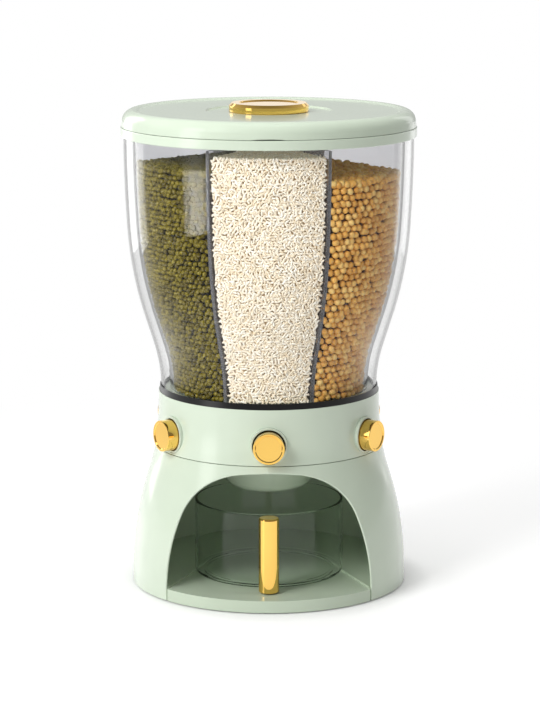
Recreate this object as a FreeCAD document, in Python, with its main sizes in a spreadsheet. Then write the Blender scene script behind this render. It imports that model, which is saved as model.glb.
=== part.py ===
import FreeCAD, Part
import math
import os
import re
import Sketcher

# Grain dispenser: a turning six-compartment container over a fixed base with a cup.
# Millimetres, +Z up, origin on the table under the turning axis, front towards -Y.

SIZES = {
    # Gaps and fits
    "running_gap": 0.3,
    "slip_gap": 0.1,
    "screw_gap": 0.05,
    "screw_end_gap": 0.5,
    "blind_floor": 0.5,
    "cut_margin": 1,
    # Screws, all of one kind but for their lengths
    "screw_radius": 1.5,
    "screw_head_radius": 2.8,
    "screw_head_depth": 1.8,
    "screw_socket_radius": 1.4,
    "screw_socket_depth": 1.0,
    # Base shell, a bell with a deck on top and an arch in front
    "foot_gap": 1.2,
    "base_radius": 137.4,
    "base_foot_height": 12.9,
    "base_belly_curve": 317,
    "base_flank_radius": 121.2,
    "base_flank_height": 112,
    "base_neck_curve": 200,
    "seam_radius": 114,
    "seam_height": 140.2,
    "base_wall": 3,
    "deck_height": 136.8,
    "deck_depth": 3,
    "arch_half_width": 99.6,
    "arch_side_curve": 203,
    "arch_shoulder_reach": 84.8,
    "arch_shoulder_height": 87.3,
    "arch_shoulder_curve": 70.8,
    "arch_crown_reach": 27.1,
    "arch_crown_height": 131.5,
    "arch_crown_curve": 240,
    "arch_edge_round": 1.2,
    # Floor tray, its keyhole recess and its feet
    "tray_height": 14.6,
    "tray_depth": 4.2,
    "recess_height": 12.9,
    "tray_lip_wall": 6,
    "tray_boss_circle": 129.5,
    "tray_boss_radius": 5.6,
    "tray_boss_height": 10,
    "tray_screw_length": 12,
    "rubber_foot_radius": 8,
    "rubber_foot_depth": 4,
    "rubber_foot_circle": 118,
    "foot_socket_wall": 2,
    "foot_socket_depth": 1.9,
    # Funnel, hung in the deck, and the ring that holds the turntable down on its collar
    "funnel_mouth_radius": 62,
    "funnel_collar_radius": 70,
    "funnel_flange_radius": 84,
    "funnel_flange_depth": 3,
    "funnel_neck_radius": 65.5,
    "funnel_bowl_radius": 43.5,
    "funnel_bowl_height": 104,
    "funnel_bowl_curve": 15,
    "funnel_spout_radius": 32,
    "funnel_spout_bore": 29.5,
    "funnel_spout_height": 95.8,
    "funnel_throat_radius": 31.2,
    "funnel_throat_height": 98.5,
    "funnel_screw_circle": 78,
    "funnel_screw_length": 3.8,
    "funnel_screw_sink": 1.5,
    "retaining_ring_radius": 75,
    "retaining_ring_depth": 2.5,
    "retaining_screw_circle": 66,
    "retaining_screw_length": 9,
    # Turntable, with its ball bearing and the guides of the button rods
    "turntable_gap": 0.7,
    "turntable_edge_gap": 1,
    "turntable_depth": 3,
    "ball_radius": 2.45,
    "ball_circle": 100,
    "ball_count": 24,
    "race_gap": 0.05,
    "cage_half_width": 3.5,
    "cage_depth": 1.5,
    "turntable_screw_circle": 106,
    "turntable_screw_length": 10,
    "ring_boss_radius": 4.5,
    "ring_boss_height": 11,
    "guide_depth": 4,
    "guide_half_width": 7,
    "guide_rise": 8,
    # Button ring
    "ring_wall": 3,
    "ring_foot_curve": 281,
    "ring_waist_radius": 110.8,
    "ring_waist_height": 175,
    "ring_top_radius": 110.2,
    "ring_height": 195.2,
    "ring_flange_depth": 3,
    "ring_flange_bore": 100.5,
    # Buttons and the gates on their rods
    "button_height": 160.2,
    "button_radius": 15.3,
    "button_rim": 2,
    "button_rim_depth": 0.9,
    "button_rim_slope": 0.9,
    "button_edge_round": 0.5,
    "button_face": 125,
    "button_skirt_wall": 1.6,
    "button_skirt": 17,
    "button_face_wall": 2.8,
    "button_boss_radius": 6.5,
    "button_travel": 11,
    "collar_bore": 16.3,
    "collar_radius": 18.2,
    "collar_proud": 2.6,
    "collar_length": 5.7,
    "collar_edge_round": 0.6,
    "collar_notch_gap": 1.5,
    "collar_notch_depth": 9,
    "collar_notch_half_width": 10.5,
    "rod_radius": 4,
    "rod_tip_radius": 2.95,
    "rod_tip_length": 12,
    "rod_start": 79,
    "rod_end_setback": 1,
    "spring_radius": 5,
    "spring_wire": 0.4,
    "spring_turns": 8,
    "gate_rise": 3.2,
    "gate_depth": 2.5,
    "gate_half_width": 15,
    "gate_end": 69,
    "gate_neck_half_width": 6,
    "gate_lap": 1.5,
    "slot_start": 45,
    "slot_length": 10,
    "slot_half_width": 12,
    "gate_plate_radius": 61,
    "gate_plate_depth": 3,
    "gate_plate_bore": 14,
    "gate_screw_circle": 54,
    "gate_screw_length": 8.1,
    # Hopper with six chutes
    "hopper_height": 198,
    "hopper_rim_depth": 2.8,
    "hopper_rim_radius": 104,
    "hopper_rim_bore": 92,
    "hopper_floor_depth": 2.5,
    "chute_wall": 2,
    "chute_start": 12,
    "chute_root": 1,
    "chute_lap": 0.2,
    "hopper_screw_circle": 102,
    "hopper_screw_length": 5,
    # Clear container: an outer shell, an inner tub and six dividers
    "bowl_foot_radius": 107.8,
    "bowl_waist_curve": 147.7,
    "bowl_waist_radius": 114.9,
    "bowl_waist_height": 243.2,
    "bowl_flank_radius": 123.1,
    "bowl_flank_height": 268.7,
    "bowl_belly_curve": 373,
    "bowl_belly_radius": 140.2,
    "bowl_belly_height": 358.7,
    "bowl_brim_curve": 1463,
    "bowl_brim_radius": 143.2,
    "bowl_brim_height": 455.6,
    "shell_wall": 2.7,
    "tub_inset": 9.2,
    "tub_wall": 2.5,
    "divider_depth": 3.2,
    "divider_height": 446,
    "front_half_angle": 26,
    "hub_radius": 7,
    "gasket_height": 201,
    "gasket_foot_radius": 109.6,
    "gasket_top_radius": 108.8,
    # Grain: height at the wall and at the hub
    "rice_wall_height": 440,
    "rice_hub_height": 443,
    "mung_wall_height": 424,
    "mung_hub_height": 440,
    "soy_wall_height": 415,
    "soy_hub_height": 438,
    # Rim band on the container's mouth
    "band_foot_height": 449,
    "band_top_height": 458.35,
    "band_radius": 145.8,
    "band_bevel": 0.6,
    "band_skirt_wall": 2,
    # Lid with its liner, seal and knob
    "lid_gap": 0.5,
    "lid_radius": 145.1,
    "lid_shoulder_radius": 144.5,
    "lid_shoulder_height": 465,
    "lid_shoulder_curve": 11.5,
    "lid_crest_radius": 134.5,
    "lid_crest_inner_radius": 131,
    "lid_crest_height": 475,
    "lid_panel_radius": 127,
    "lid_panel_height": 473.6,
    "lid_recess_radius": 61,
    "lid_recess_height": 472.3,
    "lid_recess_bevel": 1.3,
    "lid_wall": 2.4,
    "lid_post_radius": 3.5,
    "lid_screw_circle": 138.3,
    "lid_screw_length": 8,
    "notch_half_width": 16,
    "notch_height": 1,
    "liner_gap": 0.6,
    "liner_height": 452,
    "liner_wall": 2,
    "liner_flange_radius": 142,
    "liner_flange_depth": 2.5,
    "liner_flange_gap": 0.15,
    "seal_radius": 130.4,
    "seal_width": 2.8,
    "seal_depth": 1.6,
    "knob_radius": 39.4,
    "knob_height": 481.2,
    "knob_bevel": 2.6,
    "knob_foot_bevel": 0.8,
    "knob_dish_radius": 29.5,
    "knob_dish_depth": 1,
    "knob_boss_radius": 6,
    "washer_radius": 12,
    "washer_depth": 1.5,
    "knob_screw_length": 9,
    # Cup with its bar handle
    "cup_setback": 24,
    "cup_radius": 74,
    "cup_wall": 2.5,
    "cup_height": 88.5,
    "cup_lift": 0.2,
    "cup_foot_radius": 65,
    "cup_foot_width": 3,
    "cup_floor_height": 15.1,
    "cup_floor_depth": 3,
    "cup_foot_round": 2.4,
    "cup_rim_round": 1,
    "recess_gap": 1.5,
    "handle_radius": 10,
    "handle_reach": 83.2,
    "handle_foot_height": 14.2,
    "handle_round": 2,
    "handle_screw_inset": 18,
    "handle_screw_length": 12,
}

# Each compartment: its name, its azimuth from the front towards +X, and half its angle
SIDE_AZIMUTH = "(45 + front_half_angle / 2)"
SIDE_HALF = "(45 - front_half_angle / 2)"
COMPARTMENTS = [
    ("front", "0", "front_half_angle"),
    ("right_front", SIDE_AZIMUTH, SIDE_HALF),
    ("right_rear", f"(180 - {SIDE_AZIMUTH})", SIDE_HALF),
    ("rear", "180", "front_half_angle"),
    ("left_rear", f"(180 + {SIDE_AZIMUTH})", SIDE_HALF),
    ("left_front", f"(-{SIDE_AZIMUTH})", SIDE_HALF),
]
DIVIDERS = [
    "front_half_angle",
    "90",
    "(180 - front_half_angle)",
    "(180 + front_half_angle)",
    "270",
    "(-front_half_angle)",
]
TRAY_SCREWS = ["60", "120", "-120", "-60"]
CROSS = ["45", "135", "225", "315"]
SIXTHS = ["30", "90", "150", "210", "270", "330"]

# Heights and radii that follow from the sizes above
TRAY_FOOT = "(tray_height - tray_depth)"
TURNTABLE_FOOT = "(seam_height + turntable_gap)"
TURNTABLE_TOP = f"({TURNTABLE_FOOT} + turntable_depth)"
BALL_HEIGHT = f"((deck_height + {TURNTABLE_FOOT}) / 2)"
GATE_FOOT = "(button_height + gate_rise)"
HOPPER_FOOT = f"({GATE_FOOT} + gate_depth + running_gap)"
GATE_PLATE_FOOT = f"({GATE_FOOT} - running_gap - gate_plate_depth)"
GATE_START = "(slot_start - gate_lap)"
GUIDE_START = "(rod_start + running_gap)"
ROD_END = "(button_face - button_skirt - rod_end_setback)"
TUB_INNER = "(tub_inset + tub_wall)"
MOUTH = f"(bowl_brim_radius - {TUB_INNER} - running_gap - band_skirt_wall)"
LID_FOOT = "(band_top_height + lid_gap)"
LINER_FLANGE = f"({LID_FOOT} + liner_flange_gap)"
LINER_TOP = f"({LINER_FLANGE} + liner_flange_depth)"

doc = FreeCAD.newDocument("grain_dispenser")
sheet = doc.addObject("Spreadsheet::Sheet", "Sizes")
for row, (size_name, size) in enumerate(SIZES.items(), start=1):
    sheet.set(f"A{row}", size_name)
    sheet.set(f"B{row}", str(size))
    sheet.setAlias(f"B{row}", size_name)
doc.recompute()

nodes = {}


def cell(text):
    """The expression with each size's name pointing at its cell."""
    return re.sub(r"[a-z_]+", lambda word: f"Sizes.{word[0]}" if word[0] in SIZES else word[0], str(text))


def number(text):
    """What an expression comes to now."""
    found = sheet.evalExpression(cell(text))
    return float(getattr(found, "Value", found))


def bind(item, **places):
    """Ties properties to expressions. A double underscore in a name stands for a dot."""
    for place, text in places.items():
        item.setExpression(place.replace("__", "."), cell(text))
    return item


def keep(item, name):
    """Makes an object one of the finished pieces."""
    item.Label = name
    nodes[name] = item
    return item


def around(azimuths, reach):
    """Centres at one distance from the axis, at azimuths from the front."""
    return [(f"{reach} * sin({azimuth})", f"-{reach} * cos({azimuth})") for azimuth in azimuths]


def place(item, x="0", y="0", height="0", heading="0", tilt="0"):
    """Puts an object at a point, tilted about its Y axis and then turned about Z."""
    turn = f"create(<<rotation>>; {heading}; {tilt}; 0)"
    bind(item, Placement=f"create(<<placement>>; create(<<vector>>; {x}; {y}; {height}); {turn})")
    return item


def out_from(item, azimuth, reach="0", height="0", tilt="0"):
    """Puts an object so that its X axis points outwards at an azimuth."""
    x, y = around([azimuth], f"({reach})")[0]
    return place(item, x, y, height, f"({azimuth}) - 90", tilt)


def new_body(name):
    return doc.addObject("PartDesign::Body", name)


def new_sketch(body, name, plane, lift="0"):
    """An empty sketch on a body's own plane, lifted along the plane's normal."""
    sketch = body.newObject("Sketcher::SketchObject", name)
    planes = [one for one in body.Origin.OriginFeatures if one.Role == plane]
    sketch.AttachmentSupport = [(planes[0], "")]
    sketch.MapMode = "FlatFace"
    bind(sketch, AttachmentOffset__Base__z=lift)
    return sketch


def pin_down(sketch, edge, end, x, y):
    """Fixes one point of a sketch at two expressions."""
    for kind, text in (("DistanceX", x), ("DistanceY", y)):
        rule = sketch.addConstraint(Sketcher.Constraint(kind, -1, 1, edge, end, number(text)))
        sketch.setExpression(f"Constraints[{rule}]", cell(text))


def arc_between(start, end, radius, side):
    """The shorter arc between two points, with its centre to one side of the way along."""
    chord = end - start
    rise = math.sqrt(radius**2 - (chord.Length / 2) ** 2)
    across = FreeCAD.Vector(-chord.y, chord.x, 0).normalize() * (rise if side == "left" else -rise)
    centre = (start + end) * 0.5 + across
    first, last = (start, end) if side == "left" else (end, start)
    angles = [math.atan2(point.y - centre.y, point.x - centre.x) for point in (first, last)]
    return Part.ArcOfCircle(Part.Circle(centre, FreeCAD.Vector(0, 0, 1), radius), *angles)


def draw(sketch, steps):
    """A closed outline. Each step is a point to go straight to, or a point, a radius and a side."""
    points = [FreeCAD.Vector(number(step[0]), number(step[1]), 0) for step in steps]
    edges = []
    for here, step in enumerate(steps):
        start, end = points[here - 1], points[here]
        if len(step) == 2:
            edges.append((sketch.addGeometry(Part.LineSegment(start, end)), 1, 2))
            continue
        radius, side = step[2:]
        edge = sketch.addGeometry(arc_between(start, end, number(radius), side))
        rule = sketch.addConstraint(Sketcher.Constraint("Radius", edge, number(radius)))
        sketch.setExpression(f"Constraints[{rule}]", cell(radius))
        edges.append((edge, 1, 2) if side == "left" else (edge, 2, 1))
    for here, (edge, first, last) in enumerate(edges):
        after, after_first, _ = edges[(here + 1) % len(edges)]
        sketch.addConstraint(Sketcher.Constraint("Coincident", edge, last, after, after_first))
        pin_down(sketch, edge, last, *steps[here][:2])
    return sketch


def draw_circles(sketch, centres, radius):
    for x, y in centres:
        where = FreeCAD.Vector(number(x), number(y), 0)
        circle = Part.Circle(where, FreeCAD.Vector(0, 0, 1), number(radius))
        edge = sketch.addGeometry(circle)
        rule = sketch.addConstraint(Sketcher.Constraint("Radius", edge, number(radius)))
        sketch.setExpression(f"Constraints[{rule}]", cell(radius))
        pin_down(sketch, edge, 3, x, y)
    return sketch


def spin(body, name, steps, axis="V_Axis"):
    """Turns an outline, given as radius and height, through a full circle."""
    sketch = draw(new_sketch(body, f"{name}_outline", "XZ_Plane"), steps)
    feature = body.newObject("PartDesign::Revolution", name)
    feature.Profile = sketch
    feature.ReferenceAxis = (sketch, [axis])
    feature.Angle = 360
    return feature


def spin_out(body, name, sketch):
    """Turns a sketch on the XZ plane about Z and takes the ring away."""
    feature = body.newObject("PartDesign::Groove", name)
    feature.Profile = sketch
    feature.ReferenceAxis = (sketch, ["V_Axis"])
    feature.Angle = 360
    return feature


def pad(body, name, sketch, length):
    """Raises a sketch along its own normal."""
    feature = body.newObject("PartDesign::Pad", name)
    feature.Profile = sketch
    return bind(feature, Length=length)


def drill(body, name, sketch, depth):
    """Cuts a sketch's outline upwards, along its own normal."""
    feature = body.newObject("PartDesign::Pocket", name)
    feature.Profile = sketch
    feature.Reversed = True
    return bind(feature, Length=depth)


def turned(name, steps, azimuth=None, height="0"):
    """A body that is one turned outline about Z."""
    body = new_body(name)
    spin(body, f"{name}_turn", steps)
    if azimuth is not None:
        out_from(body, azimuth, height=height)
    return body


def cylinder(name, radius, length):
    return bind(doc.addObject("Part::Cylinder", name), Radius=radius, Height=length)


def box(name, length, width, height):
    return bind(doc.addObject("Part::Box", name), Length=length, Width=width, Height=height)


def joined(name, items):
    item = doc.addObject("Part::MultiFuse", name)
    item.Shapes = items
    return item


def shared(name, items):
    item = doc.addObject("Part::MultiCommon", name)
    item.Shapes = items
    return item


def cut(name, item, tools):
    result = doc.addObject("Part::Cut", name)
    result.Base = item
    result.Tool = tools[0] if len(tools) == 1 else joined(f"{name}_tools", tools)
    return result


def group(name, items):
    """Like pieces in one node, each its own solid."""
    item = doc.addObject("Part::Compound", name)
    item.Links = items
    return keep(item, name)


def screw(name, length):
    """A screw that stands on the XY plane, head down, with a hexagon socket in its head."""
    body = new_body(name)
    spin(
        body,
        f"{name}_turn",
        [
            ("0", "0"),
            ("screw_radius", "0"),
            ("screw_radius", length),
            ("0", length),
        ],
    )
    head = new_sketch(body, f"{name}_head_outline", "XY_Plane", "-screw_head_depth")
    draw_circles(head, [("0", "0")], "screw_head_radius")
    pad(body, f"{name}_head", head, "screw_head_depth")
    socket = new_sketch(body, f"{name}_socket_outline", "XY_Plane", "-screw_head_depth")
    draw(socket, around([str(60 * side) for side in range(6)], "screw_socket_radius"))
    drill(body, f"{name}_socket", socket, "screw_socket_depth")
    return body


def screws(name, centres, height, length, tilt="0"):
    """A group of like screws. Their seats under the head are at one height."""
    items = []
    for count, (x, y) in enumerate(centres, start=1):
        items.append(place(screw(f"{name}_{count}", length), x, y, height, "0", tilt))
    return group(name, items)


def bowl_up(inset):
    """The container's side from its foot to its brim, moved inwards."""
    return [
        (f"bowl_foot_radius - {inset}", "hopper_height"),
        (f"bowl_waist_radius - {inset}", "bowl_waist_height", "bowl_waist_curve", "right"),
        (f"bowl_flank_radius - {inset}", "bowl_flank_height"),
        (f"bowl_belly_radius - {inset}", "bowl_belly_height", "bowl_belly_curve", "left"),
        (f"bowl_brim_radius - {inset}", "bowl_brim_height", "bowl_brim_curve", "left"),
    ]


def bowl_down(inset):
    """The same side from its brim to its foot."""
    return [
        (f"bowl_brim_radius - {inset}", "bowl_brim_height"),
        (f"bowl_belly_radius - {inset}", "bowl_belly_height", "bowl_brim_curve", "right"),
        (f"bowl_flank_radius - {inset}", "bowl_flank_height", "bowl_belly_curve", "right"),
        (f"bowl_waist_radius - {inset}", "bowl_waist_height"),
        (f"bowl_foot_radius - {inset}", "hopper_height", "bowl_waist_curve", "left"),
    ]


def make_base_shell():
    """The bell of the base, its deck, the bosses for the tray and the arch in front."""
    body = new_body("base_shell_body")
    spin(
        body,
        "bell",
        [
            ("base_radius - base_wall", "foot_gap"),
            ("base_radius", "foot_gap"),
            ("base_radius", "base_foot_height"),
            ("base_flank_radius", "base_flank_height", "base_belly_curve", "left"),
            ("seam_radius", "seam_height", "base_neck_curve", "right"),
            ("seam_radius - base_wall", "seam_height"),
            ("base_flank_radius - base_wall", "base_flank_height", "base_neck_curve", "left"),
            ("base_radius - base_wall", "base_foot_height", "base_belly_curve", "right"),
        ],
    )
    doc.recompute()
    spin(
        body,
        "deck",
        [
            ("funnel_neck_radius + running_gap", "deck_height - deck_depth"),
            ("seam_radius - base_wall / 2", "deck_height - deck_depth"),
            ("seam_radius - base_wall / 2", "deck_height"),
            ("funnel_neck_radius + running_gap", "deck_height"),
        ],
    )
    race = new_sketch(body, "race_outline", "XZ_Plane")
    draw_circles(race, [("ball_circle", BALL_HEIGHT)], "ball_radius + race_gap")
    spin_out(body, "race", race)
    bosses = new_sketch(body, "tray_boss_outline", "XY_Plane", "tray_height")
    draw_circles(bosses, around(TRAY_SCREWS, "tray_boss_circle"), "tray_boss_radius")
    pad(body, "tray_bosses", bosses, "tray_boss_height")
    holes = new_sketch(body, "tray_boss_hole_outline", "XY_Plane", "tray_height")
    draw_circles(holes, around(TRAY_SCREWS, "tray_boss_circle"), "screw_radius + screw_gap")
    drill(body, "tray_boss_holes", holes, "tray_screw_length - tray_depth + screw_end_gap")
    holes = new_sketch(body, "deck_hole_outline", "XY_Plane", "deck_height - deck_depth + blind_floor")
    draw_circles(holes, around(CROSS, "funnel_screw_circle"), "screw_radius + screw_gap")
    drill(body, "deck_holes", holes, "deck_depth")
    arch = new_sketch(body, "arch_outline", "XZ_Plane")
    draw(
        arch,
        [
            ("-arch_half_width", "-foot_gap"),
            ("arch_half_width", "-foot_gap"),
            ("arch_half_width", "base_foot_height"),
            ("arch_shoulder_reach", "arch_shoulder_height", "arch_side_curve", "left"),
            ("arch_crown_reach", "arch_crown_height", "arch_shoulder_curve", "left"),
            ("-arch_crown_reach", "arch_crown_height", "arch_crown_curve", "left"),
            ("-arch_shoulder_reach", "arch_shoulder_height", "arch_shoulder_curve", "left"),
            ("-arch_half_width", "base_foot_height", "arch_side_curve", "left"),
        ],
    )
    doc.recompute()
    whole = body.Shape.Volume
    opening = body.newObject("PartDesign::Pocket", "arch")
    opening.Profile = arch
    opening.Reversed = True
    bind(opening, Length="base_radius + base_wall")
    doc.recompute()
    if body.Shape.Volume >= whole:
        raise RuntimeError("the arch cuts nothing")
    # The edges to round are the arch's own: the long ones well in front of the axis
    rim = []
    for count, edge in enumerate(body.Shape.Edges, start=1):
        middle = edge.valueAt((edge.FirstParameter + edge.LastParameter) / 2)
        if middle.y < -number("arch_half_width - 4 * base_wall") and edge.Length > 3 * number("base_wall"):
            rim.append(f"Edge{count}")
    rounding = body.newObject("PartDesign::Fillet", "arch_rounding")
    rounding.Base = (opening, rim)
    bind(rounding, Radius="arch_edge_round")
    return keep(body, "base_shell")


def make_floor_tray():
    """The floor of the alcove: a keyhole recess for the cup, and the lip that fills the arch's foot."""
    body = new_body("floor_tray_body")
    disc = new_sketch(body, "tray_outline", "XY_Plane", TRAY_FOOT)
    draw_circles(disc, [("0", "0")], "base_radius - base_wall - running_gap")
    pad(body, "tray_plate", disc, "tray_depth")
    side = "(arch_half_width - slip_gap)"
    inner = "(base_radius - tray_lip_wall)"
    back = f"(-sqrt({inner} * {inner} - {side} * {side}))"
    front = f"(-sqrt(base_radius * base_radius - {side} * {side}))"
    lip = new_sketch(body, "lip_outline", "XY_Plane", "foot_gap")
    draw(
        lip,
        [
            (f"-{side}", front),
            (side, front, "base_radius", "left"),
            (side, back),
            (f"-{side}", back, inner, "right"),
        ],
    )
    pad(body, "lip", lip, "recess_height - foot_gap")
    boss_foot = "(rubber_foot_depth - foot_socket_depth)"
    bosses = new_sketch(body, "foot_boss_outline", "XY_Plane", boss_foot)
    draw_circles(bosses, around(SIXTHS, "rubber_foot_circle"), "rubber_foot_radius + foot_socket_wall")
    pad(body, "foot_bosses", bosses, f"{TRAY_FOOT} - {boss_foot}")
    sockets = new_sketch(body, "foot_socket_outline", "XY_Plane", boss_foot)
    draw_circles(sockets, around(SIXTHS, "rubber_foot_circle"), "rubber_foot_radius + screw_gap")
    drill(body, "foot_sockets", sockets, "foot_socket_depth")
    holes = new_sketch(body, "tray_hole_outline", "XY_Plane", TRAY_FOOT)
    draw_circles(holes, around(TRAY_SCREWS, "tray_boss_circle"), "screw_radius + screw_gap")
    drill(body, "tray_holes", holes, "tray_depth")
    # The recess is a circle round the cup's foot with its two tangents from the arch's corners
    radius = "(cup_foot_radius + recess_gap)"
    ahead = f"(-cup_setback - {front})"
    distance = f"sqrt({side} * {side} + {ahead} * {ahead})"
    bearing = f"(atan({side} / {ahead}) + acos({radius} / {distance}))"
    touch_x = f"({radius} * sin({bearing}))"
    touch_y = f"(-cup_setback - {radius} * cos({bearing}))"
    recess = new_sketch(body, "recess_outline", "XY_Plane", "recess_height")
    draw(
        recess,
        [
            (f"-{side}", "-base_radius - base_wall"),
            (side, "-base_radius - base_wall"),
            (side, front),
            (touch_x, touch_y),
            (f"-{touch_x}", touch_y, radius, "left"),
            (f"-{side}", front),
        ],
    )
    drill(body, "recess", recess, "tray_depth")
    return keep(body, "floor_tray")


def make_rubber_feet():
    items = []
    for count, (x, y) in enumerate(around(SIXTHS, "rubber_foot_circle"), start=1):
        foot = cylinder(f"rubber_foot_{count}", "rubber_foot_radius", "rubber_foot_depth")
        items.append(place(foot, x, y))
    return group("rubber_feet", items)


def make_funnel():
    """A funnel hung in the deck, whose collar is the journal of the turntable."""
    body = turned(
        "funnel_body",
        [
            ("funnel_mouth_radius", f"{TURNTABLE_TOP} + running_gap"),
            ("funnel_mouth_radius", "deck_height"),
            ("funnel_throat_radius", "funnel_throat_height"),
            ("funnel_spout_bore", "funnel_spout_height"),
            ("funnel_spout_radius", "funnel_spout_height"),
            ("funnel_bowl_radius", "funnel_bowl_height", "funnel_bowl_curve", "left"),
            ("funnel_neck_radius", "deck_height - deck_depth"),
            ("funnel_neck_radius", "deck_height"),
            ("funnel_flange_radius", "deck_height"),
            ("funnel_flange_radius", "deck_height + funnel_flange_depth"),
            ("funnel_collar_radius", "deck_height + funnel_flange_depth"),
            ("funnel_collar_radius", f"{TURNTABLE_TOP} + running_gap"),
        ],
    )
    seat = "(deck_height + funnel_flange_depth - funnel_screw_sink)"
    holes = new_sketch(body, "flange_hole_outline", "XY_Plane", "deck_height")
    draw_circles(holes, around(CROSS, "funnel_screw_circle"), "screw_radius + screw_gap")
    drill(body, "flange_holes", holes, "funnel_flange_depth")
    sinks = new_sketch(body, "flange_sink_outline", "XY_Plane", seat)
    draw_circles(sinks, around(CROSS, "funnel_screw_circle"), "screw_head_radius + slip_gap")
    drill(body, "flange_sinks", sinks, "funnel_screw_sink")
    top = f"({TURNTABLE_TOP} + running_gap)"
    depth = "(retaining_screw_length - retaining_ring_depth + screw_end_gap)"
    holes = new_sketch(body, "collar_hole_outline", "XY_Plane", f"{top} - {depth}")
    draw_circles(holes, around(CROSS, "retaining_screw_circle"), "screw_radius + screw_gap")
    drill(body, "collar_holes", holes, depth)
    keep(body, "funnel")
    screws("funnel_screws", around(CROSS, "funnel_screw_circle"), seat, "funnel_screw_length", "180")


def make_retaining_ring():
    """The ring on the funnel's collar that keeps the turntable from lifting off."""
    foot = f"({TURNTABLE_TOP} + running_gap)"
    top = f"({foot} + retaining_ring_depth)"
    body = turned(
        "retaining_ring_body",
        [
            ("funnel_mouth_radius", foot),
            ("retaining_ring_radius", foot),
            ("retaining_ring_radius", top),
            ("funnel_mouth_radius", top),
        ],
    )
    holes = new_sketch(body, "retaining_hole_outline", "XY_Plane", foot)
    draw_circles(holes, around(CROSS, "retaining_screw_circle"), "screw_radius + screw_gap")
    drill(body, "retaining_holes", holes, "retaining_ring_depth")
    keep(body, "retaining_ring")
    places = around(CROSS, "retaining_screw_circle")
    screws("retaining_screws", places, top, "retaining_screw_length", "180")


def make_ball_bearing():
    """The cage and balls between the deck and the turntable."""
    body = turned(
        "ball_cage_body",
        [
            ("ball_circle - cage_half_width", f"{BALL_HEIGHT} - cage_depth / 2"),
            ("ball_circle + cage_half_width", f"{BALL_HEIGHT} - cage_depth / 2"),
            ("ball_circle + cage_half_width", f"{BALL_HEIGHT} + cage_depth / 2"),
            ("ball_circle - cage_half_width", f"{BALL_HEIGHT} + cage_depth / 2"),
        ],
    )
    azimuths = [f"({360 * count} / ball_count)" for count in range(SIZES["ball_count"])]
    pockets = new_sketch(body, "ball_pocket_outline", "XY_Plane", f"{BALL_HEIGHT} - cage_depth / 2")
    draw_circles(pockets, around(azimuths, "ball_circle"), "ball_radius + slip_gap")
    drill(body, "ball_pockets", pockets, "cage_depth")
    keep(body, "ball_cage")
    balls = []
    for count, (x, y) in enumerate(around(azimuths, "ball_circle"), start=1):
        ball = bind(doc.addObject("Part::Sphere", f"ball_{count}"), Radius="ball_radius")
        balls.append(place(ball, x, y, BALL_HEIGHT))
    group("bearing_balls", balls)


def make_turntable():
    """The floor of the button ring: ball race, notches for the collars and guides for the rods."""
    edge = "(seam_radius - ring_wall - turntable_edge_gap)"
    body = turned(
        "turntable_disc",
        [
            ("funnel_collar_radius + running_gap", TURNTABLE_FOOT),
            (edge, TURNTABLE_FOOT),
            (edge, TURNTABLE_TOP),
            ("funnel_collar_radius + running_gap", TURNTABLE_TOP),
        ],
    )
    race = new_sketch(body, "upper_race_outline", "XZ_Plane")
    draw_circles(race, [("ball_circle", BALL_HEIGHT)], "ball_radius + race_gap")
    spin_out(body, "upper_race", race)
    holes = new_sketch(body, "turntable_hole_outline", "XY_Plane", TURNTABLE_FOOT)
    draw_circles(holes, around(DIVIDERS, "turntable_screw_circle"), "screw_radius + screw_gap")
    drill(body, "turntable_holes", holes, "turntable_depth")
    sinks = new_sketch(body, "turntable_sink_outline", "XY_Plane", TURNTABLE_FOOT)
    draw_circles(sinks, around(DIVIDERS, "turntable_screw_circle"), "screw_head_radius + slip_gap")
    drill(body, "turntable_sinks", sinks, "screw_head_depth")
    guides, tools = [], []
    guide_height = f"(button_height - {TURNTABLE_TOP} + guide_rise)"
    for name, azimuth, _ in COMPARTMENTS:
        guide = box(f"rod_guide_{name}", "guide_depth", "2 * guide_half_width", guide_height)
        side_x, side_y = f"(guide_half_width * cos({azimuth}))", f"(guide_half_width * sin({azimuth}))"
        x, y = around([azimuth], GUIDE_START)[0]
        guides.append(place(guide, f"{x} - {side_x}", f"{y} - {side_y}", TURNTABLE_TOP, f"{azimuth} - 90"))
        bore = cylinder(f"rod_bore_{name}", "rod_radius + running_gap", "3 * guide_depth")
        tools.append(out_from(bore, azimuth, f"{GUIDE_START} - guide_depth", "button_height", "90"))
        notch_height = "turntable_depth + 2 * cut_margin"
        notch = box(f"collar_notch_{name}", "collar_notch_depth", "2 * collar_notch_half_width", notch_height)
        half = "collar_notch_half_width"
        start = "(ring_waist_radius + collar_proud - collar_length - collar_notch_gap)"
        x, y = around([azimuth], start)[0]
        corner_x, corner_y = f"{x} - {half} * cos({azimuth})", f"{y} - {half} * sin({azimuth})"
        tools.append(place(notch, corner_x, corner_y, f"{TURNTABLE_FOOT} - cut_margin", f"{azimuth} - 90"))
    solid = joined("turntable_with_guides", [body, *guides])
    keep(cut("turntable_cut", solid, tools), "turntable_plate")
    seat = f"({TURNTABLE_FOOT} + screw_head_depth)"
    places = around(DIVIDERS, "turntable_screw_circle")
    screws("turntable_screws", places, seat, "turntable_screw_length")


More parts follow.
